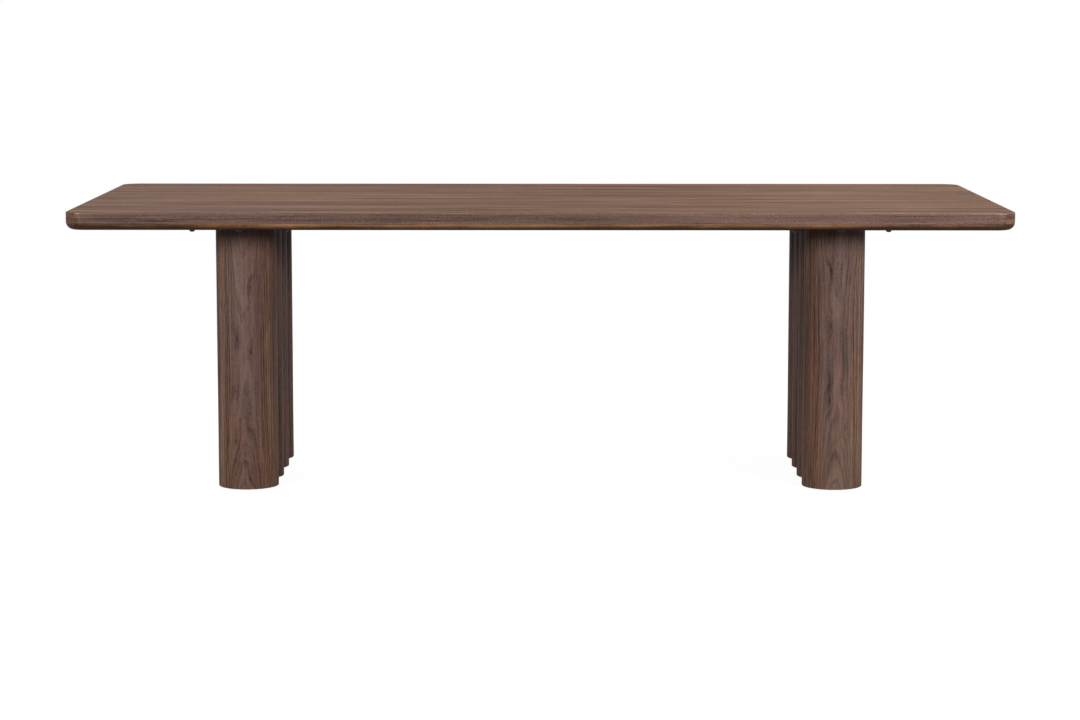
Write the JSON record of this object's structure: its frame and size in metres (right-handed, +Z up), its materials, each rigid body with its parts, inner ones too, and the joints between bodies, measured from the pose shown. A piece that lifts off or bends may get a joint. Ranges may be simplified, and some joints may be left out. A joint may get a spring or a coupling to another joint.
{
  "type": "dining table",
  "caption": "Long walnut dining table: a rounded rectangular top on two legs, each a row of round columns set from front to back, with levelling feet.",
  "frame": {"origin": "on the floor, under the middle of the top", "axes": "+X runs along the length of the top, +Y runs from the front edge in the picture to the rear edge, +Z is up"},
  "size_m": [2.4, 1.1, 0.75],
  "materials": {
    "walnut_top": "walnut veneer, straight lengthwise grain, satin lacquer",
    "walnut_edge": "solid walnut lipping, satin lacquer",
    "walnut_column": "walnut, upright figured grain, satin lacquer",
    "walnut_backing": "plain walnut backing veneer, matt lacquer",
    "particle_board": "raw particle board, hidden",
    "plywood": "birch plywood, sanded",
    "black_plate": "black powder coat, fine texture",
    "black_oxide_steel": "black oxide on steel, lightly oiled",
    "zinc_plated_steel": "bright zinc plate",
    "foot_plastic": "black moulded nylon"
  },
  "bodies": {
    "root": {"foot_inserts": "zinc_plated_steel", "front_edge_lipping": "walnut_edge", "left_block_inserts": "zinc_plated_steel", "left_block_screws": "zinc_plated_steel", "left_end_lipping": "walnut_edge", "left_flat_washers": "black_oxide_steel", "left_front_column": "walnut_column", "left_front_foot_block": "plywood", "left_front_middle_column": "walnut_column", "left_front_middle_foot_block": "plywood", "left_front_middle_top_block": "plywood", "left_front_top_block": "plywood", "left_joint_splines": "plywood", "left_mounting_plate": "black_plate", "left_plate_bolts": "black_oxide_steel", "left_rear_column": "walnut_column", "left_rear_foot_block": "plywood", "left_rear_middle_column": "walnut_column", "left_rear_middle_foot_block": "plywood", "left_rear_middle_top_block": "plywood", "left_rear_top_block": "plywood", "left_spring_washers": "black_oxide_steel", "rear_edge_lipping": "walnut_edge", "right_block_inserts": "zinc_plated_steel", "right_block_screws": "zinc_plated_steel", "right_end_lipping": "walnut_edge", "right_flat_washers": "black_oxide_steel", "right_front_column": "walnut_column", "right_front_foot_block": "plywood", "right_front_middle_column": "walnut_column", "right_front_middle_foot_block": "plywood", "right_front_middle_top_block": "plywood", "right_front_top_block": "plywood", "right_joint_splines": "plywood", "right_mounting_plate": "black_plate", "right_plate_bolts": "black_oxide_steel", "right_rear_column": "walnut_column", "right_rear_foot_block": "plywood", "right_rear_middle_column": "walnut_column", "right_rear_middle_foot_block": "plywood", "right_rear_middle_top_block": "plywood", "right_rear_top_block": "plywood", "right_spring_washers": "black_oxide_steel", "tabletop_core": "particle_board", "tabletop_face_veneer": "walnut_top", "tabletop_inserts": "zinc_plated_steel", "tabletop_underside_veneer": "walnut_backing"},
    "left_front_foot_pad": {"left_front_foot_pad": "foot_plastic"},
    "left_front_foot_screw": {"left_front_foot_screw": "zinc_plated_steel"},
    "left_rear_foot_pad": {"left_rear_foot_pad": "foot_plastic"},
    "left_rear_foot_screw": {"left_rear_foot_screw": "zinc_plated_steel"},
    "right_front_foot_pad": {"right_front_foot_pad": "foot_plastic"},
    "right_front_foot_screw": {"right_front_foot_screw": "zinc_plated_steel"},
    "right_rear_foot_pad": {"right_rear_foot_pad": "foot_plastic"},
    "right_rear_foot_screw": {"right_rear_foot_screw": "zinc_plated_steel"}
  },
  "joints": [
    {"name": "left_front_foot_height", "type": "slide", "parent": "root", "child": "left_front_foot_pad", "axis": [0, 0, -1], "range_m": [0, 0.01]},
    {"name": "left_front_foot_turn", "type": "hinge", "parent": "left_front_foot_pad", "child": "left_front_foot_screw", "pos_m": [-0.772, -0.234, 0.011], "axis": [0, 0, -1], "range_deg": [0, 2880]},
    {"name": "left_rear_foot_height", "type": "slide", "parent": "root", "child": "left_rear_foot_pad", "axis": [0, 0, -1], "range_m": [0, 0.01]},
    {"name": "left_rear_foot_turn", "type": "hinge", "parent": "left_rear_foot_pad", "child": "left_rear_foot_screw", "pos_m": [-0.772, 0.234, 0.011], "axis": [0, 0, -1], "range_deg": [0, 2880]},
    {"name": "right_front_foot_height", "type": "slide", "parent": "root", "child": "right_front_foot_pad", "axis": [0, 0, -1], "range_m": [0, 0.01]},
    {"name": "right_front_foot_turn", "type": "hinge", "parent": "right_front_foot_pad", "child": "right_front_foot_screw", "pos_m": [0.772, -0.234, 0.011], "axis": [0, 0, -1], "range_deg": [0, 2880]},
    {"name": "right_rear_foot_height", "type": "slide", "parent": "root", "child": "right_rear_foot_pad", "axis": [0, 0, -1], "range_m": [0, 0.01]},
    {"name": "right_rear_foot_turn", "type": "hinge", "parent": "right_rear_foot_pad", "child": "right_rear_foot_screw", "pos_m": [0.772, 0.234, 0.011], "axis": [0, 0, -1], "range_deg": [0, 2880]}
  ],
  "couplings": [
    {"joint": "left_front_foot_turn", "follows": "left_front_foot_height", "rad_per_m": 5026.5},
    {"joint": "left_rear_foot_turn", "follows": "left_rear_foot_height", "rad_per_m": 5026.5},
    {"joint": "right_front_foot_turn", "follows": "right_front_foot_height", "rad_per_m": 5026.5},
    {"joint": "right_rear_foot_turn", "follows": "right_rear_foot_height", "rad_per_m": 5026.5}
  ]
}
